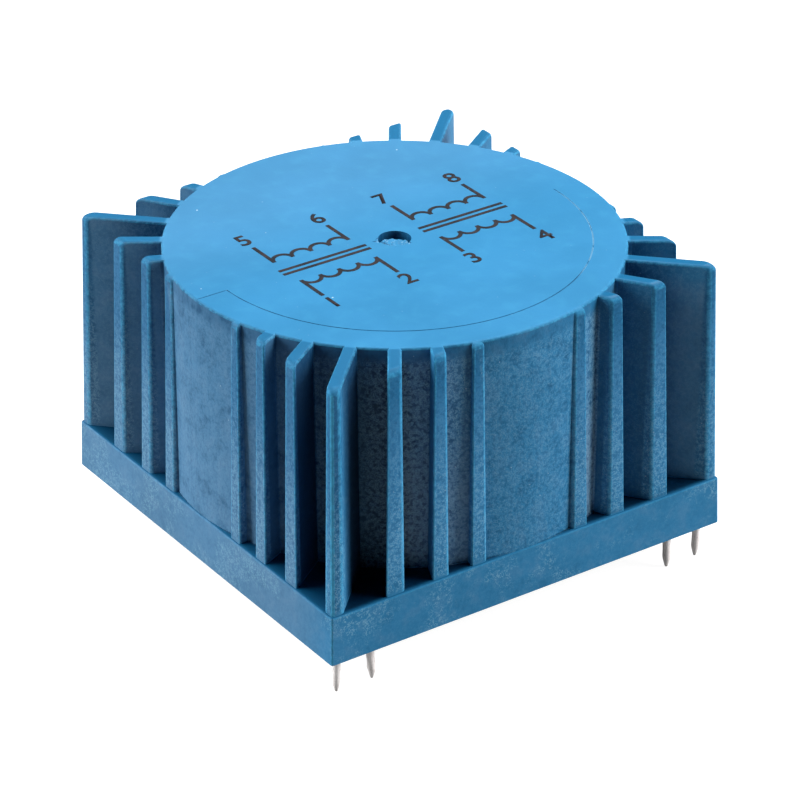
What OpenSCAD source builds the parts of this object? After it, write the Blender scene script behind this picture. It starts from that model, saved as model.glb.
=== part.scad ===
// Toroidal transformer for board mounting: a wound toroid potted in a moulded
// case. The case is a round drum on a square flange, with cooling fins that
// fill the four corners of the square. Eight solder pins stand out below.
// The origin is the centre of the underside, on the board, and +Z is up.

/* [Flange] */
// Side of the square flange, at the board
base_side = 62.6; // [62.2:0.1:80]
// Height of the flange
flange_h = 7; // [6.6:0.1:10]
// How far the flange narrows towards its top, on each side
flange_draft = 0.2; // [0:0.05:0.3]
// Radius of the flange's top edges and corners
flange_edge = 0.3; // [0.1:0.1:0.8]
// Thickness of the flange's outer wall, around the square recess below
flange_wall = 1.2; // [0.8:0.1:1.3]
// Depth of the square recess in the underside
recess_depth = 4; // [3:0.1:4.4]

/* [Drum] */
// Height of the case above the board
case_h = 38.8; // [32:0.1:60]
// Thickness of the drum's wall
drum_wall = 1.6; // [1.2:0.1:2]
// Thickness of the top wall
top_wall = 2.6; // [2.2:0.1:4]
// Width of the flange's ledge at the middle of each side of the drum
drum_ledge = 0.15; // [0.05:0.05:1]
// How far the drum narrows towards the top, on each side
drum_draft = 0.25; // [0.05:0.05:0.8]
// Radius of the drum's top edge
drum_edge = 0.3; // [0.1:0.1:1]
// Diameter of the moulding gate's round recess in the top
gate_d = 4.4; // [3:0.1:8]
// Depth of the gate recess
gate_depth = 1.8; // [0.5:0.1:2]
// Diameter of the broken gate's stub, which leans on the wall of its recess
stub_d = 2.4; // [1:0.1:3]
// Height of the stub
stub_h = 1.4; // [0.4:0.1:1.6]
// Distance from the middle of the recess to the middle of the stub
stub_off = 1.2; // [0:0.1:1.6]
// Side of the recess on which the stub was left
stub_angle = -125; // [-180:5:180]

/* [Fins] */
// Angles of a corner's fins from the diagonal, repeated on its other side
fin_angles = [0, 10.4, 20.3, 30.2]; // [0:0.1:36]
// Thickness of a fin at the top
fin_top_t = 1.75; // [1:0.05:3]
// Thickness of a fin at the flange
fin_foot_t = 2.35; // [1.5:0.05:3.5]
// How far the fins stand in from the flange's top edge, at the flange
fin_foot_inset = 0.2; // [0.05:0.05:1]
// How far the fins stand in from the flange's top edge, at the top
fin_top_inset = 1; // [0.5:0.05:2]
// Radius of the fins' top outer corners
crest_r = 0.9; // [0.2:0.1:2]

/* [Pins] */
// Distance between the outer pins of the near row
near_row = 58.42; // [38.1:2.54:58.42]
// Distance between the outer pins of the far row
far_row = 48.26; // [38.1:2.54:58.42]
// Distance between the two rows of pins
row_gap = 58.42; // [38.1:2.54:58.42]
// Distance from an outer pin to the inner pin beside it
pin_pitch = 5.08; // [2.54:2.54:10.16]
// Diameter of a pin
pin_d = 1.1; // [0.6:0.1:1.2]
// Diameter of a pin's root, whose shoulder rests on the board
root_d = 1.5; // [1.5:0.1:1.8]
// Length of a pin below the case
pin_out = 5.5; // [3:0.1:8]
// Length of a pin's pointed end
pin_point = 1.4; // [0.2:0.1:2]
// Diameter of a pin's blunt tip
pin_tip_d = 0.4; // [0.2:0.05:0.5]
// Depth of the socket that holds a pin's root, above the recess
socket_depth = 2; // [0.8:0.1:2.2]

/* [Winding] */
// Radial width of the steel core's section
core_w = 9; // [6:0.1:12]
// Insulation around the core
core_tape_t = 0.5; // [0.3:0.05:1]
// Thickness of the primary winding
primary_t = 1.9; // [1:0.05:2.5]
// Insulation between the windings
middle_tape_t = 0.3; // [0.2:0.05:0.6]
// Thickness of the secondary winding
secondary_t = 1.6; // [1:0.05:2.2]
// Insulation around the finished toroid
outer_tape_t = 0.3; // [0.2:0.05:0.6]
// Resin between the toroid and the drum's wall, at the top
resin_side = 1; // [0.5:0.1:2]
// Resin between the toroid and the flange's recess
resin_under = 6; // [5:0.1:8]
// How far the resin's surface lies inside the underside
resin_sink = 0.6; // [0.2:0.1:1.2]
// Diameter of a lead's bare wire
lead_d = 0.8; // [0.4:0.1:1]
// Diameter of the sleeve on a lead where it leaves the toroid
sleeve_d = 1.2; // [1.1:0.1:1.6]

/* [Hidden] */

half = base_side / 2;
top_half = half - flange_draft;
fin_h = case_h - flange_h;
drum_foot_r = top_half - drum_ledge;
drum_top_r = drum_foot_r - drum_draft;
ceiling_z = case_h - top_wall;
// a fin's root ends in the middle of the drum's wall
fin_root_r = drum_top_r - drum_wall / 2;
// how far a shape runs into what it joins, or past what it cuts
lap = 0.5;

// radius of the drum's bore at height z, narrowing with the drum's side
function bore_r(z) = drum_foot_r - drum_wall - drum_draft * z / case_h;

// the toroid sits against the ceiling and is built from the outside inwards
build_t = core_tape_t + primary_t + middle_tape_t + secondary_t + outer_tape_t;
core_r = bore_r(ceiling_z) - resin_side - build_t;
core_top_z = ceiling_z - build_t;
toroid_foot_z = recess_depth + resin_under;
core_foot_z = toroid_foot_z + build_t;

// the leads leave the toroid under the middle of its section, and run to the
// pins half way up the resin in the recess
lead_exit_r = core_r - core_w / 2;
lead_z = (resin_sink + recess_depth) / 2;

// pin centres: 1 to 4 on the near side from left to right, 5 to 8 on the far side
function row_xs(row) = [-row / 2, -row / 2 + pin_pitch, row / 2 - pin_pitch, row / 2];
pins = concat([for (x = row_xs(near_row)) [x, -row_gap / 2]],
              [for (x = row_xs(far_row)) [x, row_gap / 2]]);

// points of an arc about c, from angle a0 to a1
function arc(c, r, a0, a1, steps) =
    [for (i = [0:steps]) let (a = a0 + (a1 - a0) * i / steps) c + r * [cos(a), sin(a)]];

// outline of a rectangle with round corners
function round_box(x0, x1, y0, y1, r, steps) = concat(
    arc([x1 - r, y1 - r], r, 0, 90, steps),
    arc([x0 + r, y1 - r], r, 90, 180, steps),
    arc([x0 + r, y0 + r], r, 180, 270, steps),
    arc([x1 - r, y0 + r], r, 270, 360, steps)
);

// right side of a drafted wall that leans in from foot to top over the height
// z0 to z1, with a round corner at the top
function drafted_side(foot, top, z0, z1, r, steps) =
    let (lean = atan((foot - top) / (z1 - z0)), cx = top - r * (1 - sin(lean)) / cos(lean))
        concat([[foot, z0]], arc([cx, z1 - r], r, lean, 90, steps));

function mirrored(side) = [for (i = [len(side) - 1:-1:0]) [-side[i][0], side[i][1]]];

// whatever lies between two drafted walls that face +-X
module between_sides(side) {
    rotate([90, 0, 0])
        linear_extrude(2 * base_side, center = true)
            polygon(concat(side, mirrored(side)));
}

// whatever lies between four drafted walls
module inside_square(side) {
    intersection() {
        between_sides(side);
        rotate([0, 0, 90]) between_sides(side);
    }
}

module flange() {
    intersection() {
        inside_square(drafted_side(half, top_half, 0, flange_h, flange_edge, 3));
        linear_extrude(flange_h)
            polygon(round_box(-half, half, -half, half, flange_edge, 3));
    }
}

// round drum with a drafted side and a rounded top edge
module drum() {
    side = drafted_side(drum_foot_r, drum_top_r, flange_h, case_h, drum_edge, 3);
    rotate_extrude($fn = 180)
        polygon(concat([[0, flange_h - flange_edge], [drum_foot_r, flange_h - flange_edge]],
                       side, [[0, case_h]]));
}

// one fin along +X, thinner towards the top and longer than the square allows
module fin_blank() {
    foot = fin_foot_t / 2;
    top = fin_top_t / 2;
    translate([fin_root_r, 0, 0])
        rotate([90, 0, 90])
            linear_extrude(half * sqrt(2) - fin_root_r)
                polygon([[-foot, flange_h - flange_edge], [foot, flange_h - flange_edge],
                         [top, case_h], [-top, case_h]]);
}

// the fins of all four corners, cut to the drafted square
module fins() {
    foot = top_half - fin_foot_inset;
    intersection() {
        for (corner = [45:90:315])
            for (a = fin_angles)
                for (turn = a == 0 ? [0] : [-a, a])
                    rotate([0, 0, corner + turn]) fin_blank();
        inside_square(drafted_side(foot, top_half - fin_top_inset, flange_h - flange_edge, case_h, crest_r, 6));
    }
}

// space inside the case above floor_z: the drum's bore and the square recess
module hollow(floor_z) {
    inner = half - flange_wall;
    translate([0, 0, floor_z])
        cylinder(h = ceiling_z - floor_z, r1 = bore_r(floor_z), r2 = bore_r(ceiling_z), $fn = 180);
    translate([-inner, -inner, floor_z])
        cube([2 * inner, 2 * inner, recess_depth - floor_z]);
}

// the gate's recess, with the stub left standing in it
module gate_recess() {
    floor_z = case_h - gate_depth;
    difference() {
        translate([0, 0, floor_z])
            cylinder(h = gate_depth + lap, d = gate_d, $fn = 48);
        rotate([0, 0, stub_angle])
            translate([stub_off, 0, floor_z - lap])
                cylinder(h = stub_h + lap, d1 = stub_d + 2 * lap, d2 = stub_d, $fn = 32);
    }
}

// the root of a pin, from the board up into its socket
module pin_root(z0) {
    translate([0, 0, z0])
        cylinder(h = recess_depth + socket_depth - z0, d = root_d, $fn = 32);
}

// a lead that runs out to the pin at p: sleeved where it comes down from the
// toroid, then bare
module lead_path(p) {
    reach = norm(p);
    rotate([0, 0, atan2(p[1], p[0])]) {
        translate([lead_exit_r, 0, lead_z - sleeve_d / 2])
            cylinder(h = toroid_foot_z - lead_z + sleeve_d / 2, d = sleeve_d, $fn = 32);
        translate([lead_exit_r, 0, lead_z])
            rotate([0, 90, 0]) cylinder(h = reach - lead_exit_r, d = lead_d, $fn = 32);
    }
}

// ring around the Z axis that covers the core all round by t
module wrapped_core(t, corner) {
    rotate_extrude($fn = 180)
        polygon(round_box(core_r - core_w - t, core_r + t, core_foot_z - t, core_top_z + t, corner, 4));
}

// one layer of the toroid, from t_in to t_out outside the core
module layer(t_in, t_out, corner_in, corner_out) {
    difference() {
        wrapped_core(t_out, corner_out);
        wrapped_core(t_in, corner_in);
    }
}

module case() {
    color("#4b9fd2")
        difference() {
            union() {
                flange();
                drum();
                fins();
            }
            hollow(-lap);
            for (p = pins) translate([p[0], p[1], 0]) pin_root(-lap);
            gate_recess();
        }
}

module potting_resin() {
    color("#23262b")
        difference() {
            hollow(resin_sink);
            wrapped_core(build_t, 2.2);
            for (p = pins) {
                translate([p[0], p[1], 0]) pin_root(-lap);
                lead_path(p);
            }
        }
}

module steel_core() {
    color("#8d9299") wrapped_core(0, 0.2);
}

module core_insulation() {
    color("#e8dfc4") layer(0, core_tape_t, 0.2, 0.6);
}

module primary_winding() {
    t_in = core_tape_t;
    color("#b3622b") layer(t_in, t_in + primary_t, 0.6, 1.4);
}

module middle_insulation() {
    t_in = core_tape_t + primary_t;
    color("#f2e9b8") layer(t_in, t_in + middle_tape_t, 1.4, 1.6);
}

module secondary_winding() {
    t_in = core_tape_t + primary_t + middle_tape_t;
    color("#c47538") layer(t_in, t_in + secondary_t, 1.6, 2);
}

module outer_insulation() {
    color("#f2e9b8") layer(build_t - outer_tape_t, build_t, 2, 2.2);
}

// the lead to pin n, ending against the side of the pin's root
module lead(n) {
    p = pins[n - 1];
    color("#b3622b")
        difference() {
            lead_path(p);
            translate([p[0], p[1], 0]) pin_root(0);
        }
}

// pin n: a root with a shoulder, and a thinner shank with a blunt point
module pin(n) {
    p = pins[n - 1];
    color("#c9ccd0")
        translate([p[0], p[1], 0]) {
            pin_root(0);
            translate([0, 0, pin_point - pin_out])
                cylinder(h = pin_out - pin_point, d = pin_d, $fn = 32);
            translate([0, 0, -pin_out])
                cylinder(h = pin_point, d1 = pin_tip_d, d2 = pin_d, $fn = 32);
        }
}

case();
potting_resin();
steel_core();
core_insulation();
primary_winding();
middle_insulation();
secondary_winding();
outer_insulation();
lead(1);  // lead_1
lead(2);  // lead_2
lead(3);  // lead_3
lead(4);  // lead_4
lead(5);  // lead_5
lead(6);  // lead_6
lead(7);  // lead_7
lead(8);  // lead_8
pin(1);  // pin_1
pin(2);  // pin_2
pin(3);  // pin_3
pin(4);  // pin_4
pin(5);  // pin_5
pin(6);  // pin_6
pin(7);  // pin_7
pin(8);  // pin_8
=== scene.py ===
# %% [markdown]
# # A toroidal transformer in a moulded case
# A ring of steel strip carries two windings of copper wire. The ring is sunk in a blue
# moulded case: a round drum on a square flange, with cooling fins that fill the four
# corners of the square. Black resin fills the case from below, and eight solder pins
# stand out of it. The engineering model gives every size. This lesson rebuilds what
# shows with rounded edges, small faults and real finishes.

import math

import bmesh
import bpy
from mathutils import Matrix, Vector, noise


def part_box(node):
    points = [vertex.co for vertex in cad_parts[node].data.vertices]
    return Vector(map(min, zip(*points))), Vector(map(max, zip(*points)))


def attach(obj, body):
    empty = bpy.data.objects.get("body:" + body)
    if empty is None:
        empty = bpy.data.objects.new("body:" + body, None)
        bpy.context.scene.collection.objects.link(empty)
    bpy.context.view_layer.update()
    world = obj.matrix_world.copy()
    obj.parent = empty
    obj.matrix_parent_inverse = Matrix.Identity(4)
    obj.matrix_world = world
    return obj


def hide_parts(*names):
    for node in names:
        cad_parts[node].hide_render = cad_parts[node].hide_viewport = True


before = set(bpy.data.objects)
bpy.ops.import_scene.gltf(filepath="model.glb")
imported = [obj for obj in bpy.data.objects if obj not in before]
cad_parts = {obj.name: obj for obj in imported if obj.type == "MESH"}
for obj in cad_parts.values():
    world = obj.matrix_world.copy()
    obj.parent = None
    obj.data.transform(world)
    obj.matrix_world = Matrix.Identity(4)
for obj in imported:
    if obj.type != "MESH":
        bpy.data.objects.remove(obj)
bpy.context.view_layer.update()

# %% [markdown]
# ## Sizes
# The outside sizes are read from the frame, so the rebuilt case can't drift away from
# it. The rest are the sizes that the mould was cut to. All modelling is done in
# millimetres, because Bevel and Boolean treat points that lie very close together as
# one, and a rounding of 0.0003 metres is close to that. Each finished piece is shrunk
# to metres at the end.

# %% Sizes, in millimetres
MM = 0.001
case_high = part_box("case")[1]
half = case_high.x / MM
case_h = case_high.z / MM
floor_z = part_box("pin_1")[0].z
flange_h, flange_draft, flange_wall = 7, 0.2, 1.2
recess_depth = 4
top_half = half - flange_draft
drum_ledge, drum_draft, drum_wall, top_wall = 0.15, 0.25, 1.6, 2.6
drum_foot_r = top_half - drum_ledge
drum_top_r = drum_foot_r - drum_draft
ceiling_z = case_h - top_wall
fin_angles = (0, 10.4, 20.3, 30.2)
fin_top_t, fin_foot_t = 1.75, 2.35
fin_foot_reach = top_half - 0.2
fin_top_reach = top_half - 1
print(f"flange {2 * half:.1f} mm square, case {case_h:.1f} mm high")

# %% [markdown]
# ## Camera
# The camera stands in front and to the left, and looks down on the case from a good
# way off with a long lens, so the far edges are hardly smaller than the near ones.
# It comes first, because everything after it is judged through it.

# %% Camera
azimuth, elevation, roll = math.radians(-34.595), math.radians(28.972), math.radians(-0.098)
distance = 508.8 * MM
target = Vector((5.76, 7.19, 9.36)) * MM
away = Vector((
    math.sin(azimuth) * math.cos(elevation),
    -math.cos(azimuth) * math.cos(elevation),
    math.sin(elevation),
))
camera = bpy.data.objects.new("camera", bpy.data.cameras.new("camera"))
bpy.context.scene.collection.objects.link(camera)
camera.data.sensor_width = 36
camera.data.lens = 166.44
camera.location = target + away * distance
camera.rotation_euler = (-away).to_track_quat("-Z", "Y").to_euler()
camera.rotation_euler.rotate_axis("Z", roll)
bpy.context.scene.camera = camera
print("camera at", [round(v, 4) for v in camera.location])

# %% [markdown]
# ## Hands
# A few helpers stand for what a hand does in the window: leave edit mode, put one
# piece alone under the cursor, and pick faces, edges or corners by where they are.

# %% Picking and editing
def put_down():
    """Leaves edit mode and deselects everything."""
    if bpy.context.object and bpy.context.object.mode != "OBJECT":
        bpy.ops.object.mode_set(mode="OBJECT")
    bpy.ops.object.select_all(action="DESELECT")


def hold(piece):
    """Selects one piece alone and makes it active."""
    put_down()
    piece.select_set(True)
    bpy.context.view_layer.objects.active = piece
    return piece


def edit(piece, kind):
    """Enters edit mode on one piece with nothing selected. kind is VERT, EDGE or FACE."""
    hold(piece)
    bpy.ops.object.mode_set(mode="EDIT")
    bpy.ops.mesh.select_mode(type=kind)
    bpy.ops.mesh.select_all(action="DESELECT")


def pick(piece, kind, test):
    """Selects what passes the test, and returns how many did."""
    bpy.ops.mesh.select_mode(type=kind)
    bpy.ops.mesh.select_all(action="DESELECT")
    shape = bmesh.from_edit_mesh(piece.data)
    parts = {"VERT": shape.verts, "EDGE": shape.edges, "FACE": shape.faces}[kind]
    chosen = [part for part in parts if test(part)]
    for part in chosen:
        part.select_set(True)
    bmesh.update_edit_mesh(piece.data)
    return len(chosen)


def middle(edge):
    return (edge.verts[0].co + edge.verts[1].co) / 2


def turns(edge, degrees):
    """Whether an edge's two faces turn away from each other by more than that."""
    return edge.is_manifold and edge.calc_face_angle() > math.radians(degrees)


def settle(piece):
    """Puts a piece's place, turn and scale into its mesh."""
    hold(piece)
    bpy.ops.object.transform_apply(location=True, rotation=True, scale=True)
    return piece


# %% Joining and cutting
def boolean(piece, tool, operation):
    """Joins or cuts with another piece, which is used up."""
    hold(piece)
    step = piece.modifiers.new("with", "BOOLEAN")
    step.operation = operation
    step.solver = "EXACT"
    step.object = tool
    bpy.ops.object.modifier_apply(modifier=step.name)
    bpy.data.objects.remove(tool)
    return piece


def block(size, centre):
    bpy.ops.mesh.primitive_cube_add(size=1, location=centre, scale=size)
    return settle(bpy.context.object)


def rod(radius, low, high, x=0, y=0, sides=48):
    """A round bar along Z, between two heights."""
    bpy.ops.mesh.primitive_cylinder_add(
        vertices=sides, radius=radius, depth=high - low, location=(x, y, (low + high) / 2)
    )
    return settle(bpy.context.object)


put_down()

# %% [markdown]
# ## The flange
# The square foot of the case leans in by 0.2 mm towards its top, so that it leaves the
# mould, and its edges are rounded by 0.3 mm. It starts as a block whose top is scaled
# in, and the edges are bevelled in one go so that they meet in round corners. The
# roundings get the second material slot, because edges wear lighter than faces, and
# those that face the near corner get painted light.

# %% Flange
edge_r, foot_edge_r = 0.3, 0.12
EDGE_SLOT, TORN_SLOT = 1, 2
flange_face = bpy.data.materials.new("case_face")
flange_edge = bpy.data.materials.new("case_edge")


def two_slots(piece):
    """Gives a piece the finish of its faces, and next to it that of its edges."""
    piece.data.materials.append(flange_face)
    piece.data.materials.append(flange_edge)
    return piece


flange = two_slots(block((2 * half, 2 * half, flange_h), (0, 0, flange_h / 2)))
edit(flange, "VERT")
pick(flange, "VERT", lambda v: v.co.z > flange_h - 0.01)
lean = top_half / half
bpy.ops.transform.resize(value=(lean, lean, 1), center_override=(0, 0, flange_h))
found = pick(flange, "EDGE", lambda e: middle(e).z > 0.01)
bpy.ops.mesh.bevel(offset=edge_r, segments=3, affect="EDGES", material=EDGE_SLOT)
pick(flange, "EDGE", lambda e: middle(e).z < 0.01 and turns(e, 60))
bpy.ops.mesh.bevel(offset=foot_edge_r, segments=2, affect="EDGES", material=EDGE_SLOT)
put_down()
print("flange:", found, "edges rounded,", len(flange.data.polygons), "faces")

# %% [markdown]
# ## The drum
# The drum is a cylinder that narrows by 0.25 mm, with a rounded rim. Its foot is
# nearly as wide as the square, so at the middle of each side it runs into the
# flange's rounded edge. The printed ink lies on its top and is 0.03 mm thick, so the
# top stays that much under the full height.

# %% Drum
ink_t = 0.03
top_z = case_h - ink_t
rim_r = 0.35
drum = two_slots(rod(drum_foot_r, flange_h - 1, top_z, sides=180))
edit(drum, "VERT")
pick(drum, "VERT", lambda v: v.co.z > top_z - 0.01)
narrow = drum_top_r / drum_foot_r
bpy.ops.transform.resize(value=(narrow, narrow, 1), center_override=(0, 0, top_z))
pick(drum, "EDGE", lambda e: middle(e).z > top_z - 0.01)
bpy.ops.mesh.bevel(offset=rim_r, segments=4, affect="EDGES", material=EDGE_SLOT)
put_down()
print("drum:", len(drum.data.polygons), "faces")

# %% [markdown]
# ## The fins
# Each corner has seven fins that point at the middle of the drum. They thin out
# towards the top, and their noses are cut by the same leaning square walls, so the fin
# on the diagonal ends in a wedge with two faces. Each fin is a bar that is narrowed,
# turned to its place and bisected by the two walls. Then the crest, where the top
# meets the nose, gets a large rounding, and the other long edges a small one. One
# corner is modelled, and the other three are turned copies.

# %% One fin
crest_r = 0.9
nose_r = 0.38
fin_foot_z = flange_h - 0.5
fin_root_r = drum_top_r - drum_wall / 2


def fin(angle):
    """A fin of the corner between +X and +Y, at that angle from the X axis."""
    reach = half * math.sqrt(2)
    bar = two_slots(block(
        (reach - fin_root_r, fin_foot_t, top_z - fin_foot_z),
        ((reach + fin_root_r) / 2, 0, (top_z + fin_foot_z) / 2),
    ))
    edit(bar, "VERT")
    pick(bar, "VERT", lambda v: v.co.z > top_z - 0.01)
    bpy.ops.transform.resize(
        value=(1, fin_top_t / fin_foot_t, 1), center_override=(0, 0, top_z))
    put_down()
    bar.rotation_euler.z = math.radians(angle)
    settle(bar)
    rise, fall = top_z - fin_foot_z, fin_foot_reach - fin_top_reach
    edit(bar, "FACE")
    for wall in (Vector((1, 0, 0)), Vector((0, 1, 0))):
        bpy.ops.mesh.select_all(action="SELECT")
        bpy.ops.mesh.bisect(
            plane_co=wall * fin_top_reach + Vector((0, 0, top_z)),
            plane_no=(wall * rise + Vector((0, 0, fall))).normalized(),
            use_fill=True, clear_outer=True)
    outside = fin_root_r + 0.3
    pick(bar, "EDGE", lambda e: middle(e).z > top_z - 0.01 and turns(e, 30)
         and min(v.co.xy.length for v in e.verts) > outside)
    bpy.ops.mesh.bevel(offset=crest_r, segments=6, affect="EDGES", material=EDGE_SLOT)
    pick(bar, "EDGE", lambda e: turns(e, 30) and middle(e).z > fin_foot_z + 0.01
         and max(v.co.xy.length for v in e.verts) > outside)
    bpy.ops.mesh.bevel(offset=nose_r, segments=3, affect="EDGES", material=EDGE_SLOT)
    put_down()
    return bar


# %% Seven fins of a corner, four corners
corner = [fin(45 + side * angle) for angle in fin_angles for side in ((-1, 1) if angle else (1,))]
put_down()
for bar in corner:
    bar.select_set(True)
bpy.context.view_layer.objects.active = corner[0]
bpy.ops.object.join()
corners = [bpy.context.object]
for quarter in (1, 2, 3):
    hold(corners[0])
    bpy.ops.object.duplicate()
    copy = bpy.context.object
    copy.rotation_euler.z = math.radians(90 * quarter)
    corners.append(settle(copy))
print("fins: 4 corners of", len(corner), "with", len(corners[0].data.polygons), "faces each")

# %% [markdown]
# ## One moulding
# The flange, the drum and the fins are one piece of plastic, so they are joined with
# exact Booleans. What the mould's core leaves hollow is cut out from below: the bore
# for the ring, the square recess in the flange, and a socket for each pin.

# %% Join the moulding
case = boolean(drum, flange, "UNION")
for fins in corners:
    boolean(case, fins, "UNION")
print("case:", len(case.data.polygons), "faces joined")

# %% Cut the inside
inner = half - flange_wall
bore_foot_r = drum_foot_r - drum_wall
bore_top_r = bore_foot_r - drum_draft * ceiling_z / case_h
bpy.ops.mesh.primitive_cone_add(
    vertices=180, radius1=bore_foot_r, radius2=bore_top_r, depth=ceiling_z,
    location=(0, 0, ceiling_z / 2))
boolean(case, settle(bpy.context.object), "DIFFERENCE")
recess = block((2 * inner, 2 * inner, recess_depth + 1), (0, 0, (recess_depth - 1) / 2))
boolean(case, recess, "DIFFERENCE")
pins = {}
for number in range(1, 9):
    low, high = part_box(f"pin_{number}")
    pins[number] = Vector((low.x + high.x, low.y + high.y)) / 2 / MM
pin_root_r = (high.x - low.x) / 2 / MM
pin_root_top = high.z / MM
for x, y in pins.values():
    boolean(case, rod(pin_root_r, -1, pin_root_top, x, y, sides=32), "DIFFERENCE")
print("case:", len(case.data.polygons), "faces with its inside")

# %% [markdown]
# ## The insert's line
# The middle of the top was shaped by a separate insert in the mould. Its edge left a
# hairline round the front half of the top, and a short one across to the rim. A line
# in the material alone would have no depth, so a thin ring and a thin bar are cut
# 0.06 mm deep. The material darkens the bar and the ring from the left round to the
# front, and paints a highlight along the ring on the right.

# %% Insert line
insert_r, hair, hair_depth, spur_gap = 26.1, 0.13, 0.06, 0.3
ring = rod(insert_r + hair / 2, top_z - hair_depth, top_z + 1, sides=180)
boolean(ring, rod(insert_r - hair / 2, top_z - 1, top_z + 2, sides=180), "DIFFERENCE")
boolean(ring, block((3 * half, 2 * half, 4), (0, half + 0.01, top_z)), "DIFFERENCE")
boolean(case, ring, "DIFFERENCE")
spur = block(
    (drum_top_r - insert_r - 2 * spur_gap, 0.8 * hair, 1),
    (-(drum_top_r + insert_r) / 2, 0, top_z + 0.5 - hair_depth))
boolean(case, spur, "DIFFERENCE")

# %% [markdown]
# ## The gate
# The plastic was shot in through one point on the top. The runner was then broken off
# inside a small round recess, and left a torn stub and a chipped rim. The recess is a
# plain cut. The stub starts as three squashed balls, roughened at random with a fixed
# seed. A tilted block with a rough underside tears off their upper part, and what is
# left is joined to the wall of the recess. Torn plastic turns whitish, so what is torn
# gets a third slot.

# %% Gate recess and stub
torn_plastic = bpy.data.materials.new("case_torn")
case.data.materials.append(torn_plastic)
gate_r, gate_depth, tear_depth = 2.2, 1.8, 0.42
torn_turn = math.radians(-35)
torn_side = Matrix.Rotation(torn_turn, 2)


def torn_all_over(piece):
    """Gives a piece the case's three slots and paints all of it torn."""
    two_slots(piece).data.materials.append(torn_plastic)
    for face in piece.data.polygons:
        face.material_index = TORN_SLOT
    return piece


def lump(size, place, depth, seed):
    """A ball of torn plastic, roughened at random. depth is its middle's, under the top."""
    spot = Vector(place)
    spot.rotate(torn_side)
    bpy.ops.mesh.primitive_ico_sphere_add(
        subdivisions=2, radius=0.5, location=(*spot, top_z - depth), scale=size,
        rotation=(0, 0, torn_turn))
    ball = settle(bpy.context.object)
    edit(ball, "VERT")
    bpy.ops.mesh.select_all(action="SELECT")
    bpy.ops.transform.vertex_random(offset=min(size) * 0.09, seed=seed)
    bpy.ops.mesh.subdivide(number_cuts=2, smoothness=0.6, fractal=0.7, seed=seed)
    put_down()
    return torn_all_over(ball)


boolean(case, rod(gate_r, top_z - gate_depth, top_z + 1), "DIFFERENCE")
stub = lump((4.2, 3.5, 3.4), (0.05, -0.75), 1.2, 4)
for size, place, depth, seed in (
        ((1.5, 1.5, 2.6), (-1.0, -0.8), 1.15, 7),
        ((1.3, 1.2, 2.4), (1.05, -0.95), 1.15, 9)):
    boolean(stub, lump(size, place, depth, seed), "UNION")
tear = block((7, 7, 2), (0, 0, 1))
edit(tear, "FACE")
pick(tear, "FACE", lambda f: f.normal.z < -0.5)
bpy.ops.mesh.subdivide(number_cuts=15)
pick(tear, "VERT", lambda v: v.co.z < 0.5)
bpy.ops.transform.vertex_random(offset=0.5, seed=5)
bpy.ops.mesh.subdivide(number_cuts=1, fractal=2, seed=5)
put_down()
tear.rotation_euler = (math.radians(-6), math.radians(4), torn_turn)
tear.location.z = top_z - tear_depth
settle(tear)
boolean(stub, torn_all_over(tear), "DIFFERENCE")
boolean(stub, torn_all_over(block((9, 9, 2), (0, 0, top_z + 0.99))), "DIFFERENCE")
boolean(case, stub, "UNION")
for size, place, seed in (
        ((0.8, 1.6, 0.4), (-2.1, -0.6), 21),
        ((1.3, 0.3, 0.2), (-2.3, -1.0), 22),
        ((0.7, 0.6, 0.3), (1.85, -1.35), 24)):
    boolean(case, lump(size, place, 0, seed), "DIFFERENCE")
print("case:", len(case.data.polygons), "faces with its gate")

# %% Shade and place
def weighted(piece, degrees):
    """Smooth shading that keeps flat faces flat beside narrow roundings."""
    hold(piece)
    bpy.ops.object.shade_smooth_by_angle(angle=math.radians(degrees))
    step = piece.modifiers.new("normals", "WEIGHTED_NORMAL")
    step.keep_sharp = True
    bpy.ops.object.modifier_apply(modifier=step.name)


def deliver(piece, name, stands_for=()):
    """Shrinks a finished piece to metres, names it and hangs it on the frame."""
    hold(piece)
    piece.scale = (MM, MM, MM)
    settle(piece)
    piece.name = piece.data.name = name
    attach(piece, "root")
    if stands_for:
        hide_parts(*stands_for)
    print(name, "has", len(piece.data.polygons), "faces")
    return piece


weighted(case, 30)
deliver(case, "moulded_case", ["case"])

# %% [markdown]
# ## The resin
# The resin was poured in from below and set with a skin that climbs at the walls and
# at the pins, and dips a little between them. The engineering model's resin is flat
# there. A copy of it is cut by a block whose upper face is a fine grid: its middle is
# lifted, with a random swell, and its border and the rings round the pins stay low.

# %% Resin
resin_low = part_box("potting_resin")[0].z / MM
dip, climb_width = 0.3, 0.9
swell, waves_per_mm = 0.12, 0.11


def poured(point):
    """How far the resin's skin stands back at a point of the underside."""
    wall = inner - max(abs(point.x), abs(point.y))
    pin = min((point.xy - at).length for at in pins.values()) - pin_root_r
    climb = 1 - math.exp(-max(0, min(wall, pin)) / climb_width)
    wave = noise.noise(Vector((point.x, point.y, 0)) * waves_per_mm)
    return climb * (dip + wave * swell)


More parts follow.
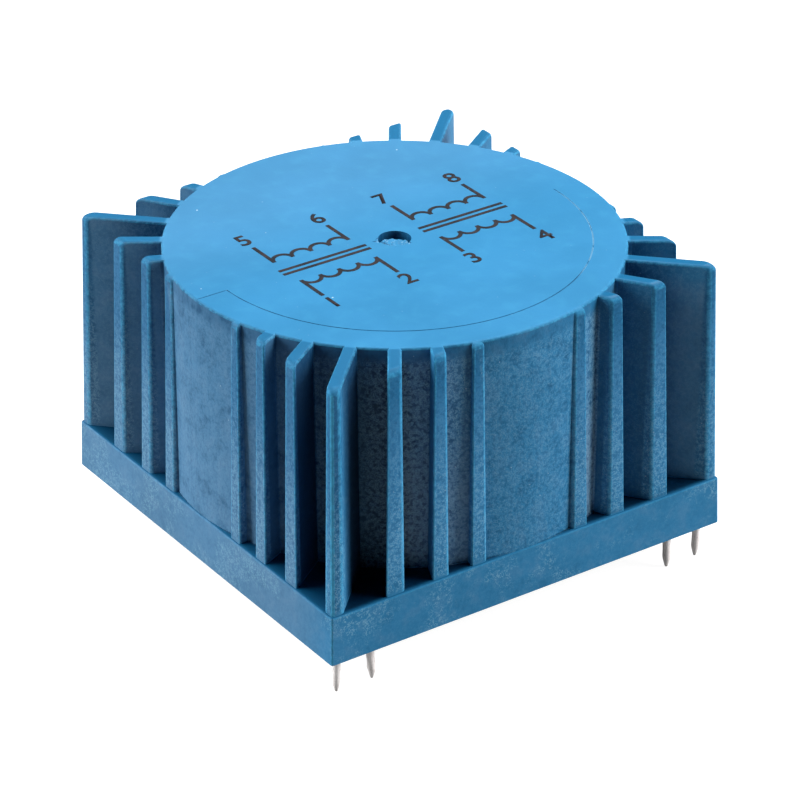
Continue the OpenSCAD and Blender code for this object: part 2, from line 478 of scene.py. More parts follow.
hold(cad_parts["potting_resin"])
bpy.ops.object.duplicate()
resin = bpy.context.object
for key in list(resin.keys()):
    del resin[key]
resin.parent = None
resin.scale = (1 / MM, 1 / MM, 1 / MM)
settle(resin)
edit(resin, "VERT")
bpy.ops.mesh.select_all(action="SELECT")
bpy.ops.mesh.remove_doubles(threshold=0.0005)
put_down()
bpy.ops.mesh.primitive_grid_add(x_subdivisions=90, y_subdivisions=90, size=2 * inner + 2)
skin = bpy.context.object
edit(skin, "FACE")
bpy.ops.mesh.select_all(action="SELECT")
bpy.ops.mesh.extrude_region_move(TRANSFORM_OT_translate={"value": (0, 0, resin_low + 1)})
put_down()
for point in skin.data.vertices:
    if point.co.z > 0.5:
        point.co.z += poured(point.co)
skin.location.z = -1
settle(skin)
boolean(resin, skin, "DIFFERENCE")
hold(resin)
bpy.ops.object.shade_smooth_by_angle(angle=math.radians(35))
resin.data.materials.clear()
deliver(resin, "poured_resin", ["potting_resin"])

# %% [markdown]
# ## The pins
# A pin is a tinned brass wire with a thicker root, and a shoulder between them that
# stops it at the board. Its tip was cropped, so it is blunt and a little uneven. One
# disc is extruded up and resized at each ring of a short profile. The pin is made
# eight times, and each one gets dents of its own and a slight bend.

# %% One pin
profile = (
    (-5.42, 0.2), (-5.2, 0.28), (-4.7, 0.41), (-4.25, 0.52), (-3.9, 0.55), (-3, 0.55),
    (-2, 0.55), (-1, 0.55), (0, 0.55), (0.02, 0.72), (0.06, 0.75), (pin_root_top, 0.75),
)
tip_z, tip_r = floor_z / MM, 0.1


def pin(number, bend):
    """One pin at its place, with dents of its own. bend is how far its tip is off, in mm."""
    bpy.ops.mesh.primitive_circle_add(
        vertices=20, radius=tip_r, fill_type="NGON", location=(0, 0, tip_z))
    made = settle(bpy.context.object)
    edit(made, "FACE")
    bpy.ops.mesh.select_all(action="SELECT")
    height, radius = tip_z, tip_r
    for next_height, next_radius in profile:
        bpy.ops.mesh.extrude_region_move(
            TRANSFORM_OT_translate={"value": (0, 0, next_height - height)})
        share = next_radius / radius
        bpy.ops.transform.resize(value=(share, share, 1), center_override=(0, 0, next_height))
        height, radius = next_height, next_radius
    bpy.ops.mesh.select_all(action="SELECT")
    bpy.ops.mesh.normals_make_consistent(inside=False)
    pick(made, "VERT", lambda v: tip_z + 0.05 < v.co.z < -0.5)
    bpy.ops.transform.vertex_random(offset=0.022, seed=number)
    for level in (-0.5, -2.5, -4):
        pick(made, "VERT", lambda v: v.co.z < level)
        bpy.ops.transform.translate(value=(bend[0] / 3, bend[1] / 3, 0))
    put_down()
    made.location = (*pins[number], 0)
    settle(made)
    hold(made)
    bpy.ops.object.shade_smooth_by_angle(angle=math.radians(40))
    return made


# %% Eight pins
bends = {1: (-0.08, 0.02), 2: (0.32, 0.02), 3: (0.05, -0.05), 4: (-0.06, 0.04),
         5: (0.04, 0.06), 6: (-0.05, 0.05), 7: (0.06, 0), 8: (0, -0.07)}
tin = bpy.data.materials.new("tinned_wire")
for number, bend in bends.items():
    made = pin(number, bend)
    made.data.materials.append(tin)
    deliver(made, f"solder_pin_{number}", [f"pin_{number}"])

# %% [markdown]
# ## The print
# The top is pad-printed in one dark ink. This one shows what a fitter needs: four
# coils with the numbers of the pins that they end at. Ink has thickness, so the
# strokes are flat shapes given 0.03 mm of it by Solidify. A coil's bump is an edge
# spun half round, and four of them are joined in a row. A number starts as text. Its
# outline has corners that nearly meet, and they are merged before it becomes a mesh.

# %% Strokes
stroke = 0.55
bump_r, bumps = 1.45, 4
coil_w = 2 * bump_r * bumps
sunk = 0.01
ink_z = case_h - 0.001
digit_h, digit_bold = 4, 0.06
same_corner = 0.02


def flat(width, depth, x, y):
    """A flat stroke at the height of the ink."""
    bpy.ops.mesh.primitive_plane_add(size=1, location=(x, y, ink_z))
    bpy.context.object.scale = (width, depth, 1)
    return settle(bpy.context.object)


def inked(piece):
    """Gives flat strokes the thickness of the ink, sunk a little into the top."""
    hold(piece)
    step = piece.modifiers.new("ink", "SOLIDIFY")
    step.thickness, step.offset = ink_t + sunk, -1
    bpy.ops.object.modifier_apply(modifier=step.name)
    return piece


def bump(x, y):
    """One bump of a coil, spun half round from a short edge."""
    edge = flat(stroke, stroke, x + bump_r, y)
    edit(edge, "VERT")
    pick(edge, "VERT", lambda v: v.co.y > y)
    bpy.ops.mesh.delete(type="VERT")
    bpy.ops.mesh.select_all(action="SELECT")
    bpy.ops.transform.translate(value=(0, stroke / 2, 0))
    bpy.ops.mesh.spin(steps=16, angle=-math.pi, center=(x, y, ink_z), axis=(0, 0, 1))
    bpy.ops.mesh.select_all(action="SELECT")
    bpy.ops.mesh.normals_make_consistent(inside=False)
    put_down()
    return inked(edge)


def merge_corners(outline):
    """Deletes each corner of a curve that nearly meets the one before it."""
    bpy.ops.object.mode_set(mode="EDIT")
    bpy.ops.curve.select_all(action="DESELECT")
    doubled = 0
    for line in outline.data.splines:
        points = list(line.bezier_points)
        for point, before in zip(points, points[-1:] + points[:-1]):
            if (point.co - before.co).length < same_corner:
                point.select_control_point = True
                doubled += 1
    if doubled:
        bpy.ops.curve.delete(type="VERT")
    bpy.ops.object.mode_set(mode="OBJECT")


def number_print(number, x, y):
    """A number, from text by way of a slightly widened outline."""
    bpy.ops.object.text_add()
    made = bpy.context.object
    made.data.body, made.data.size = str(number), digit_h
    made.data.align_x, made.data.align_y = "CENTER", "CENTER"
    bpy.ops.object.convert(target="CURVE")
    made = bpy.context.object
    merge_corners(made)
    made.data.offset = digit_bold
    bpy.ops.object.convert(target="MESH")
    made = bpy.context.object
    edit(made, "VERT")
    bpy.ops.mesh.select_all(action="SELECT")
    bpy.ops.mesh.dissolve_limited(angle_limit=math.radians(1))
    bpy.ops.mesh.delete_loose()
    inked(made).location = (x, y, ink_z)
    return settle(made)


def copied(piece, x=0, y=0, turned=0):
    """A copy with its own mesh, moved and turned about the middle of the top."""
    hold(piece)
    bpy.ops.object.duplicate()
    other = bpy.context.object
    other.location = (x, y, 0)
    other.rotation_euler.z = turned
    return settle(other)


# %% Four coils and their numbers
foot_y, lead_l, coil_x, digit_gap = 3.1, 5.2, 11, 2.3
coil = bump(coil_x - coil_w / 2 + bump_r, foot_y)
for place in range(1, bumps):
    boolean(coil, bump(coil_x - coil_w / 2 + bump_r * (1 + 2 * place), foot_y), "UNION")
for side in (-1, 1):
    lead = inked(flat(stroke, lead_l, coil_x + side * coil_w / 2, foot_y + lead_l / 2 - 0.02))
    boolean(coil, lead, "UNION")
core_line = inked(flat(coil_w + 2, stroke, coil_x, 0.55))
strokes = [coil, core_line]
for piece in (coil, core_line):
    strokes += [copied(piece, -2 * coil_x), copied(piece, turned=math.pi),
                copied(piece, 2 * coil_x, turned=math.pi)]
number_y = foot_y + lead_l + digit_gap
for number in range(1, 9):
    column = (number - 1) % 4
    x = (-1, -1, 1, 1)[column] * coil_x + (-1, 1, -1, 1)[column] * coil_w / 2
    strokes.append(number_print(number, x, -number_y if number < 5 else number_y))
put_down()
for piece in strokes:
    piece.select_set(True)
bpy.context.view_layer.objects.active = coil
bpy.ops.object.join()
edit(coil, "FACE")
bpy.ops.mesh.select_all(action="SELECT")
bpy.ops.mesh.normals_make_consistent(inside=False)
put_down()
ink = bpy.data.materials.new("print_ink")
coil.data.materials.clear()
coil.data.materials.append(ink)
deliver(coil, "ink_print")

# %% [markdown]
# ## Words for finishes
# A finish is a small sum over masks: dust times noise, painted shade and sheen, plus
# wear on edges. Written as nodes, each sign costs a line, so one class wraps a socket
# and lets plain signs add the Math nodes. Every other node comes from one method of the
# paint pot.

# %% A socket that can be added and multiplied
class Wire:
    """An output socket of a node. Plain signs between two of them add Math nodes."""

    def __init__(self, pot, socket):
        self.pot, self.socket = pot, socket

    def math(self, operation, *values):
        """A Math node on values of its own, or on this socket where none is given."""
        return self.pot.node("Math", {"operation": operation}, dict(enumerate(values or (self,))))

    def __add__(self, other):
        return self.math("ADD", self, other)

    def __sub__(self, other):
        return self.math("SUBTRACT", self, other)

    def __rsub__(self, other):
        return self.math("SUBTRACT", other, self)

    def __mul__(self, other):
        return self.math("MULTIPLY", self, other)

    def __abs__(self):
        return self.math("ABSOLUTE", self)

    __radd__, __rmul__ = __add__, __mul__

    def most(self, other):
        return self.math("MAXIMUM", self, other)

    def ramp(self, low, high):
        """0 below low, 1 above high, and smooth between. high may be under low."""
        return self.pot.node(
            "MapRange", {"interpolation_type": "SMOOTHSTEP"},
            {"Value": self, "From Min": low, "From Max": high})

    def out(self, name):
        return Wire(self.pot, self.socket.node.outputs[name])


# %% A pot of paint
class Pot:
    """The node tree of one material."""

    def __init__(self, material):
        self.material = material
        material.use_nodes = True
        self.tree = material.node_tree
        self.tree.nodes.clear()

    def node(self, kind, settings=None, sockets=None, out=0):
        """A new node with its settings, its sockets filled or linked, and one output."""
        made = self.tree.nodes.new("ShaderNode" + kind)
        for name, value in (settings or {}).items():
            setattr(made, name, value)
        for name, value in (sockets or {}).items():
            socket = made.inputs[name]
            if isinstance(value, Wire):
                self.tree.links.new(value.socket, socket)
            elif socket.type == "RGBA":
                socket.default_value = (*value, 1)
            else:
                socket.default_value = value
        return Wire(self, made.outputs[out])

    def mix(self, share, first, second):
        """A colour between two, by a share from 0 to 1."""
        return self.node("Mix", {"data_type": "RGBA"}, {0: share, 6: first, 7: second}, 2)

    def spot(self, scale=(1, 1, 1)):
        """The point on the piece, in millimetres, stretched by scale."""
        metres = self.node("TexCoord", out="Object")
        return self.node("Mapping", {"vector_type": "POINT"},
                         {"Vector": metres, "Scale": [v / MM for v in scale]})

    def cloud(self, size, detail=2, stretch=(1, 1, 1), rough=0.5):
        """Noise from 0 to 1 with grains of about that size, in millimetres."""
        where = self.spot([v / size for v in stretch])
        return self.node("TexNoise", {}, {
            "Vector": where, "Scale": 1, "Detail": detail, "Roughness": rough})

    def finish(self, sockets, grain=None, depth=0):
        """The shader. grain is a height from 0 to 1 that stands depth millimetres out."""
        if grain is not None:
            sockets["Normal"] = self.node(
                "Bump", {}, {"Height": grain, "Distance": depth * MM, "Strength": 1})
        shader = self.node("BsdfPrincipled", {}, sockets)
        out = self.tree.nodes.new("ShaderNodeOutputMaterial")
        self.tree.links.new(shader.socket, out.inputs["Surface"])


# %% [markdown]
# ## Blue plastic
# The case is moulded in a filled blue plastic. Its walls are matt and hazy: mould
# marks run down them in streaks, and fibres and grains of filler show. On the left
# walls the grey veil is part dust and part painted sheen. Grey dust sits deep between
# the fins, most of it in the sheltered grooves of one side. Shade is painted deep
# between the fins, under the rim, high on the left of the drum, on crests, ledges and
# flanks that face away from the light, and beside the near ridge. The noses of the
# fins carry less veil and are darker at the top than at the foot, and those on the
# right get painted light. The top is clean, with a few white specks and a painted
# sheen that grows towards the back. Edges wear paler from rubbing, and those at the
# near corner get painted light. Torn plastic is almost white in places. All three
# finishes share these layers, because they have to meet without a seam.

# %% Where a point is
def axes(pot):
    """x, y and z of the point on the piece, in millimetres."""
    point = pot.node("SeparateXYZ", {}, {0: pot.spot()})
    return [point.out(axis) for axis in "XYZ"]


def from_axis(x, y):
    """The distance from the middle of the ring."""
    return (x * x + y * y).math("SQRT")


def bearing(x, y):
    """The angle round the ring from +X, in degrees."""
    return x.math("ARCTAN2", y, x) * (180 / math.pi)


def specks(pot, spacing, size, share):
    """Scattered dots: the share of the cells that have one, about size across."""
    cell = pot.node("TexVoronoi", {"feature": "F1"}, {"Vector": pot.spot([1 / spacing] * 3), "Scale": 1})
    dot = cell.ramp(size / spacing, size / spacing * 0.5)
    lot = pot.node("SeparateColor", {}, {0: cell.out("Color")})
    return dot * lot.ramp(1 - share, 1 - share + 0.02)


# %% Places and noises of the case
class Places:
    """Masks from 0 to 1 for the parts of the case, and the noises that all layers share."""

    def __init__(self, pot):
        x, y, z = self.x, self.y, self.z = axes(pot)
        self.radius, self.angle = from_axis(x, y), bearing(x, y)
        facing = pot.node("SeparateXYZ", {}, {0: pot.node("NewGeometry", out="Normal")})
        self.face_x, self.face_y, self.up = (facing.out(axis) for axis in "XYZ")
        self.across = x - y
        # how far the point is from the nearest of the square's four walls
        self.inward = inward = top_half - abs(x).most(abs(y))
        # the two sides and the corner between -X and -Y
        self.left, self.right = (y - x).ramp(-4, 12), self.across.ramp(10, 45)
        self.near = (x + y).ramp(-35, -50)
        self.sheltered = (1 - self.left) * y.ramp(6, -6)
        # 1 except at the near-left corner, which gets less dust and painted shade deep between the fins
        self.clean = 1 - 0.85 * self.near * self.left
        # the top and the walls
        self.flat = self.up.ramp(0.5, 0.9)
        self.top = self.flat * z.ramp(case_h - 1, case_h - 0.5)
        self.crest = self.top * self.radius.ramp(drum_top_r, drum_top_r + 0.4)
        self.disc = self.top - self.crest
        self.wall = 1 - self.top
        self.below_rim = z.ramp(case_h - 1.2, case_h - 3)
        # the drum's skin, the noses and flanks of the fins, the flange's ledge and foot
        outside = self.radius.ramp(drum_foot_r + 0.1, drum_foot_r + 0.3)
        self.skin = (1 - outside) * z.ramp(flange_h - 0.2, flange_h) * self.wall
        self.nose = outside * inward.ramp(1.6, 1.2) * z.ramp(flange_h, flange_h + 1) * self.wall
        self.flank = outside * z.ramp(flange_h, flange_h + 0.3) * self.wall * (1 - self.nose)
        self.deep = inward.ramp(0.8, 4) * inward.ramp(9.5, 6.5) * self.wall
        self.ledge = self.flat * z.ramp(flange_h + 1, flange_h + 0.5)
        self.foot = (1 - self.flat) * z.ramp(flange_h, flange_h - 0.4)
        # noises, from the widest to the finest
        self.clouds = pot.cloud(12, 4)
        self.patches = pot.cloud(7, 3, rough=0.6).ramp(0.46, 0.6)
        self.blotch = pot.cloud(2.6, 4, rough=0.6)
        self.smear = pot.cloud(1.3, 3, (1, 1, 0.09), 0.6)
        self.stipple = pot.cloud(0.55, 2, rough=0.6)
        self.fibres = abs(pot.cloud(0.31, 1) - 0.5).ramp(0.10, 0.02) * self.stipple.ramp(0.36, 0.6)


# %% Layers of colour
def bare(pot, at):
    """The base blue, darker high on the noses, with painted shade on crests and ledges and painted light
    on the noses of the right side.
    """
    z, inward = at.z, at.inward
    colour = pot.mix(at.clouds.ramp(0.3, 0.7), (0.008, 0.140, 0.292), (0.013, 0.160, 0.330))
    colour = pot.mix(at.nose * z.ramp(12, 30) * 0.46, colour, (0.001, 0.060, 0.165))
    # painted shade on the crests, and on the ledges between the fins, darkest inward
    crest_and_ledge_shade = at.crest * 0.46 + at.ledge * (0.55 + 0.4 * inward.ramp(0.3, 2.5))
    colour = pot.mix(crest_and_ledge_shade, colour, (0.001, 0.036, 0.090))
    # more painted shade on the ledges of the right side, except at their outer edge
    dark_ledge = at.ledge * (0.3 + 0.6 * at.across.ramp(-1, 3)) * inward.ramp(0.1, 0.9)
    colour = pot.mix(dark_ledge, colour, (0, 0.008, 0.025))
    # painted light on the noses of the right side, between foot and top
    right_nose_light = at.nose * (1 - at.left) * at.across.ramp(3, 8) * z.ramp(36, 29) * z.ramp(7, 12)
    return pot.mix(right_nose_light * 0.3, colour, (0.06, 0.25, 0.48))


def dusted(pot, at, colour):
    """A grey veil on the walls, part dust and part painted sheen on the left, and grey dust in the
    grooves.
    """
    z, inward, skin, flank = at.z, at.inward, at.skin, at.flank
    # a faint grey veil all over, more on the left walls, part dust and part painted sheen
    haze_and_sheen = at.left * (0.095 + 0.03 * z.ramp(30, 8)) + 0.028
    clear = (1 - 0.65 * at.nose * z.ramp(14, 30)) * (1 - at.ledge) * at.wall
    colour = pot.mix(haze_and_sheen * clear, colour, (0.42, 0.40, 0.42))
    grooves = skin * at.deep * at.below_rim * at.clean * (0.15 + 0.27 * at.sheltered)
    shallow = inward.ramp(0.9, 1.6) * inward.ramp(6.5, 4.5)
    low = skin * at.sheltered * shallow * z.ramp(28, 16)
    corner_fin = flank * at.right * at.angle.ramp(-50, -47)
    outer = corner_fin * inward.ramp(7, 4) * z.ramp(case_h - 1.5, case_h - 4)
    streaks = at.smear.ramp(0.5, 0.75) * skin
    spots = at.blotch.ramp(0.46, 0.66) * (flank * at.clean * 0.12 + at.foot * 0.1 + skin * 0.1)
    dust = grooves + low * 0.35 + outer * 0.17 + streaks * 0.07 + spots
    return pot.mix(dust * at.wall, colour, (0.20, 0.30, 0.42))


def shaded(pot, at, colour):
    """Darker stipple, blotches and streaks, and painted shade deep between the fins, under the rim, high
    on the left of the drum, beside the near ridge and on flanks that face away from the light.
    """
    z, inward, skin, flank, left = at.z, at.inward, at.skin, at.flank, at.left
    stippled = skin * at.below_rim * (0.2 - 0.12 * left + 0.3 * at.deep * at.sheltered)
    shade = at.stipple.ramp(0.52, 0.36) * (0.08 + stippled + 0.25 * at.nose)
    shade = shade + at.blotch.ramp(0.5, 0.3) * (0.16 + (0.12 + 0.1 * left) * skin)
    shade = shade + at.smear.ramp(0.5, 0.3) * skin * 0.12
    # painted shade high on the left of the drum, and just under the rim
    shade = shade + skin * left * z.ramp(16, 36) * 0.16 + skin * (1 - at.below_rim) * 0.25
    # painted shade deep between the fins, more at the near-left corner, and inward along the flanks
    depth = inward.ramp(4, 9) * 0.4 + (1 - at.clean) * at.deep * 0.4
    shade = shade + (flank + skin) * depth + flank * (0.05 + inward.ramp(2, 6) * 0.5)
    # painted shade: the wedge of the near diagonal fin is darker beside its ridge
    ridge = at.across.ramp(-0.2, 0.3) * at.across.ramp(1.7, 0.8)
    shade = shade + at.nose * at.near * (0.3 + 0.2 * z.ramp(14, 30)) * ridge
    colour = pot.mix(shade * at.wall, colour, (0.004, 0.050, 0.125))
    # flanks that face away from the light
    diagonal = at.across.ramp(4, 1) * inward.ramp(0.5, 3)
    near_dim = at.near * at.across.ramp(0, -3).most(diagonal) * at.face_x.ramp(0.2, 0.5)
    right_dim = at.right * at.angle.ramp(-47, -50) * at.face_y.ramp(-0.1, -0.4)
    return pot.mix(flank * (near_dim + right_dim * 0.4) * 0.75, colour, (0, 0.016, 0.055))


def speckled(pot, at, colour):
    """Fibres and grains of filler, the faint cloudiness of the top, and a painted sheen on it that grows
    towards the back.
    """
    z, skin, nose = at.z, at.skin, at.nose
    groove = at.deep * at.clean * (0.15 + 0.45 * at.sheltered)
    share = skin * at.below_rim * (0.2 - 0.12 * at.left + groove)
    share = share + nose * (0.06 + 0.34 * z.ramp(34, 14))
    share = share + at.foot * (0.05 + at.patches * 0.4) + at.flank * at.clean * 0.1
    colour = pot.mix(at.fibres * share, colour, (0.22, 0.42, 0.54))
    colour = pot.mix(at.blotch.ramp(0.45, 0.75) * at.disc * 0.14, colour, (0.03, 0.25, 0.42))
    # painted sheen on the top, stronger towards the back
    colour = pot.mix(at.disc * (0.018 + at.y.ramp(-6, 22) * 0.03), colour, (0.6, 0.6, 0.6))
    grains = specks(pot, 1.5, 0.10, 0.35) * (0.2 + 0.5 * skin)
    grains = grains + specks(pot, 4, 0.16, 0.3) * at.top
    low = nose * z.ramp(30, 14) * 0.5 + at.foot * at.patches * 0.4
    grains = grains + specks(pot, 0.7, 0.12, 0.4) * low
    return pot.mix(grains * 0.55, colour, (0.55, 0.70, 0.80))


def lined(pot, at, colour):
    """The insert's hairline: dark and broken in front, with a painted highlight further round."""
    line = abs(at.radius - insert_r).ramp(hair, hair / 3) * at.y.ramp(0.15, 0) * at.top
    across = abs(at.y).ramp(hair, hair / 3) * at.x.ramp(-insert_r + 0.1, -insert_r) * at.top
    broken = pot.cloud(1.4, 2).ramp(0.38, 0.5)
    dark_part = at.angle.ramp(-52, -62)
    dark = line * dark_part * 0.6 + across * 0.35
    colour = pot.mix(dark * broken, colour, (0.004, 0.045, 0.10))
    # painted highlight along the ring on the right
    return pot.mix(line * (1 - dark_part) * broken * 0.4, colour, (0.30, 0.55, 0.72))


def rubbed(pot, at, colour):
    """Edges are paler where hands and boxes rub them, and those at the near corner that face it get
    painted light.
    """
    rub = pot.cloud(0.7, 3, rough=0.7).ramp(0.42, 0.62)
    # painted light on edges at the near corner whose faces turn towards it
    toward_near_corner = (at.face_x + at.face_y).ramp(-1.1, -1.35)
    corner = toward_near_corner * at.near * (0.3 + 0.7 * at.z.ramp(flange_h, flange_h + 0.3))
    rim = 1 - 0.85 * at.up.ramp(0.1, 0.4) * at.z.ramp(flange_h + 0.3, flange_h)
    wear_and_painted_light = (0.1 + 0.3 * rub + 0.5 * corner) * rim * (1 - 0.8 * at.flat)
    return pot.mix(wear_and_painted_light, colour, (0.06, 0.36, 0.60))


def torn(pot, at, colour):
    """Torn plastic is whitish in places near the top."""
    stress = pot.cloud(0.35, 3, (1, 1, 0.5)).ramp(0.54, 0.7) * at.z.ramp(case_h - 1.2, case_h - 0.2)
    return pot.mix(stress * 0.3, colour, (0.50, 0.70, 0.80))


# %% Three finishes
def blue_plastic(material, *last_layers):
    """The case's plastic, with the edges' wear and painted light, or the tearing, as the last layers."""
    pot = Pot(material)
    at = Places(pot)
    colour = bare(pot, at)
    for layer in (dusted, shaded, speckled, lined, *last_layers):
        colour = layer(pot, at, colour)
    gloss = 0.46 + 0.12 * at.blotch + 0.06 * at.wall - 0.15 * at.crest * at.right
    if rubbed in last_layers:
        gloss = gloss + 0.12
    grain = at.stipple * (0.25 + 0.75 * at.skin) + at.blotch * 0.3 + at.smear * 0.3 * at.skin
    pot.finish({"Base Color": colour, "Roughness": gloss, "Specular IOR Level": 0.2}, grain, 0.05)


blue_plastic(flange_face)
blue_plastic(flange_edge, rubbed)
blue_plastic(torn_plastic, torn)

# %% [markdown]
# ## Resin, tin and ink
# The resin is a glossy black with dull flow marks and a few pinholes. The tin on the
# pins is so pale and dull that it is drawn as a light grey skin with dark specks, and
# not as a mirror. The ink is a warm dark grey, thin enough in places that the blue
# shows through.

# %% Resin
def black_resin(material):
    """Cast resin, with flow marks and pinholes."""
    pot = Pot(material)
    flow = pot.cloud(9, 4, rough=0.6)
    fine = pot.cloud(0.5, 3)
    holes = specks(pot, 2.4, 0.3, 0.25)
    colour = pot.mix(flow.ramp(0.35, 0.7), (0.010, 0.011, 0.013), (0.024, 0.025, 0.028))
    colour = pot.mix(fine.ramp(0.55, 0.8) * 0.25, colour, (0.09, 0.09, 0.09))
    pot.finish({"Base Color": colour, "Roughness": 0.26 + 0.3 * flow.ramp(0.4, 0.75) + 0.4 * holes},
               flow * 2 + fine * 0.15 - holes, 0.12)


resin_skin = bpy.data.materials.new("black_resin")
black_resin(resin_skin)
resin.data.materials.append(resin_skin)


# %% Tin
def tinned(material):
    """Dull tin on drawn wire, darker round the root."""
    pot = Pot(material)
    z = axes(pot)[2]
    patch = pot.cloud(1.1, 3, (1, 1, 0.5))
    fine = pot.cloud(0.16, 2)
    drawn = pot.cloud(0.12, 1, (1, 1, 0.04))
    colour = pot.mix(patch.ramp(0.35, 0.65), (0.84, 0.79, 0.77), (0.93, 0.89, 0.87))
    colour = pot.mix(fine.ramp(0.60, 0.72) * 0.5, colour, (0.22, 0.19, 0.18))
    colour = pot.mix(z.ramp(-0.6, 0.1) * 0.3, colour, (0.25, 0.22, 0.21))
    pot.finish({"Base Color": colour, "Roughness": 0.38 + 0.2 * patch},
               drawn * 0.5 + fine * 0.5, 0.02)


tinned(tin)


# %% Ink
def printed(material):
    """Dark ink that the blue shows through where it is thin."""
    pot = Pot(material)
    thin = pot.cloud(0.35, 3)
    patch = pot.cloud(2.2, 2)
    colour = pot.mix(patch.ramp(0.35, 0.65), (0.012, 0.013, 0.017), (0.026, 0.020, 0.022))
    colour = pot.mix(thin.ramp(0.58, 0.74) * 0.35, colour, (0.03, 0.10, 0.17))
    pot.finish({"Base Color": colour, "Roughness": 0.65 + 0.2 * thin, "Specular IOR Level": 0.2},
               thin, 0.008)


printed(ink)

# %% [markdown]
# ## What is inside
# The ring and its layers are closed in by the case and the resin, and only show when
# someone takes the model apart. They keep the engineering model's shapes. The strip
# of the core and the turns of the windings are many and thin, so they are drawn in
# the finish, from each point's angle and distance round the axis.

# %% Steel, copper and film
strip_t = 0.3


def steel_strip(material):
    """Bare steel strip, wound on itself."""
    pot = Pot(material)
    x, y = axes(pot)[:2]
    strip = (from_axis(x, y) * (2 * math.pi / strip_t)).math("SINE")
    patch = pot.cloud(3, 3)
    colour = pot.mix(strip.ramp(-0.6, 0.6), (0.16, 0.17, 0.19), (0.36, 0.37, 0.40))
    colour = pot.mix(patch.ramp(0.5, 0.75) * 0.4, colour, (0.20, 0.16, 0.13))
    pot.finish({"Base Color": colour, "Metallic": 0.9, "Roughness": 0.35 + 0.2 * patch}, strip, 0.03)


def wound_copper(material, turn_count):
    """Turns of enamelled wire, that many round the ring."""
    pot = Pot(material)
    x, y = axes(pot)[:2]
    phase = bearing(x, y) * (math.pi / 180 * turn_count) + pot.cloud(4, 2) * 3
    wire = phase.math("SINE")
    patch = pot.cloud(2, 3)
    colour = pot.mix(wire.ramp(-0.9, 0.3), (0.10, 0.025, 0.008), (0.58, 0.23, 0.08))
    colour = pot.mix(patch.ramp(0.5, 0.7) * 0.35, colour, (0.70, 0.34, 0.14))
    pot.finish({"Base Color": colour, "Metallic": 0.85, "Roughness": 0.28 + 0.15 * patch}, wire, 0.25)


def wound_film(material, wraps):
    """Film tape whose laps lean a little, that many round the ring."""
    pot = Pot(material)
    x, y, z = axes(pot)
    lap = (bearing(x, y) * (wraps / 360) + z * 0.04).math("FRACT")
    patch = pot.cloud(3, 3)
    colour = pot.mix(lap.ramp(0.02, 0.12), (0.42, 0.34, 0.16), (0.78, 0.70, 0.44))
    colour = pot.mix(patch.ramp(0.4, 0.7) * 0.3, colour, (0.86, 0.80, 0.58))
    pot.finish({"Base Color": colour, "Roughness": 0.22 + 0.2 * patch}, lap, 0.06)


def lead_wire(material):
    """Bare wire up to the height where its cloth sleeve starts."""
    pot = Pot(material)
    sleeve = axes(pot)[2].ramp(3.0, 3.1)
    patch = pot.cloud(0.7, 3)
    weave = pot.cloud(0.18, 2, (1, 1, 2))
    wire = pot.mix(patch.ramp(0.4, 0.7), (0.45, 0.17, 0.06), (0.68, 0.30, 0.12))
    cloth = pot.mix(weave.ramp(0.4, 0.6), (0.42, 0.36, 0.24), (0.68, 0.62, 0.48))
    pot.finish({"Base Color": pot.mix(sleeve, wire, cloth), "Metallic": (1 - sleeve) * 0.85,
                "Roughness": 0.35 + 0.4 * sleeve}, weave, 0.02)


def paint(nodes, name, finish, *values):
    """Makes one finish and puts it on some pieces of the engineering model."""
    material = bpy.data.materials.new(name)
    finish(material, *values)
    for node in nodes:
        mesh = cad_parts[node].data
        mesh.materials.clear()
        mesh.materials.append(material)
    print(name, "on", ", ".join(nodes))


paint(["steel_core"], "core_strip", steel_strip)
paint(["primary_winding"], "primary_wire", wound_copper, 420)
paint(["secondary_winding"], "secondary_wire", wound_copper, 150)
paint(["core_insulation", "middle_insulation", "outer_insulation"], "insulating_film", wound_film, 46)
paint([f"lead_{number}" for number in range(1, 9)], "lead_wire", lead_wire)

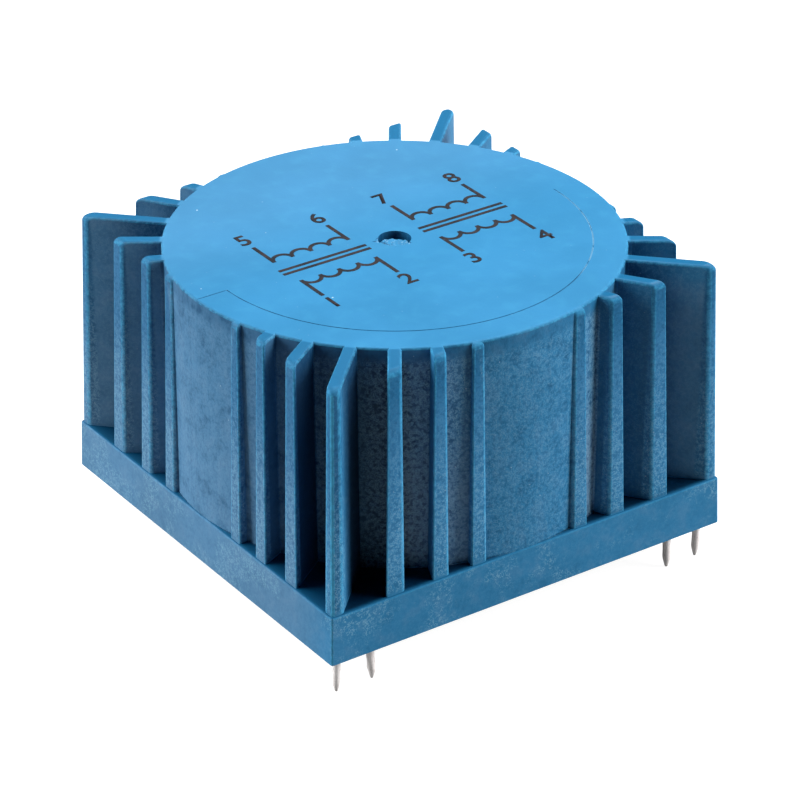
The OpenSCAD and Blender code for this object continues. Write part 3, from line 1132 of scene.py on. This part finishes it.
# %% [markdown]
# ## Floor and light
# The object stands on white paper. Two low softboxes stand to its left and right, and
# two high ones behind it. Only the high ones show as a sheen, because the low ones are
# hidden from reflections. Nothing shines from the front, so the gaps between the fins
# stay dark. The paper looks white to the camera, but lights the walls only faintly.

# %% Floor
bpy.ops.mesh.primitive_plane_add(size=6, location=(0, 0, floor_z))
floor = bpy.context.object
floor.name = "floor"
paper = bpy.data.materials.new("floor_paper")
pot = Pot(paper)
rays = pot.node("LightPath", out="Is Camera Ray")
seen = rays.most(rays.out("Is Glossy Ray") * 0.15)
glow = pot.mix(seen, (0.06, 0.06, 0.06), (0.93, 0.93, 0.93))
pot.finish({"Base Color": (0.25, 0.25, 0.25), "Roughness": 0.9, "Specular IOR Level": 0.0,
            "Emission Color": glow, "Emission Strength": 1.0})
floor.data.materials.append(paper)

# %% Surroundings
world = bpy.data.worlds.new("studio")
bpy.context.scene.world = world
world.use_nodes = True
tree = world.node_tree
sky = tree.nodes["Background"]
sky.inputs["Color"].default_value = (1, 1, 1, 1)
path = tree.nodes.new("ShaderNodeLightPath")
level = tree.nodes.new("ShaderNodeMapRange")
level.inputs["To Min"].default_value = 0.01
level.inputs["To Max"].default_value = 1
tree.links.new(path.outputs["Is Camera Ray"], level.inputs["Value"])
tree.links.new(level.outputs["Result"], sky.inputs["Strength"])


# %% Softboxes
def softbox(name, bearing, watts, height=25, distance=0.85, size=0.5):
    """A square light that faces the object, by its bearing and height in degrees."""
    turn, rise = math.radians(bearing), math.radians(height)
    way = Vector((math.cos(turn) * math.cos(rise), math.sin(turn) * math.cos(rise), math.sin(rise)))
    light = bpy.data.lights.new(name, "AREA")
    light.energy, light.size = watts, size
    lamp = bpy.data.objects.new(name, light)
    lamp.location = Vector((0, 0, 0.02)) + way * distance
    lamp.rotation_euler = (-way).to_track_quat("-Z", "Y").to_euler()
    lamp.visible_glossy = height > 40
    bpy.context.scene.collection.objects.link(lamp)


softbox("softbox_left", 145, 10.8)
softbox("softbox_back_left", 100, 3.6, height=58)
softbox("softbox_back_right", 10, 7.5, height=58)
softbox("softbox_right", -35, 11)
bpy.context.scene.view_settings.view_transform = "Standard"
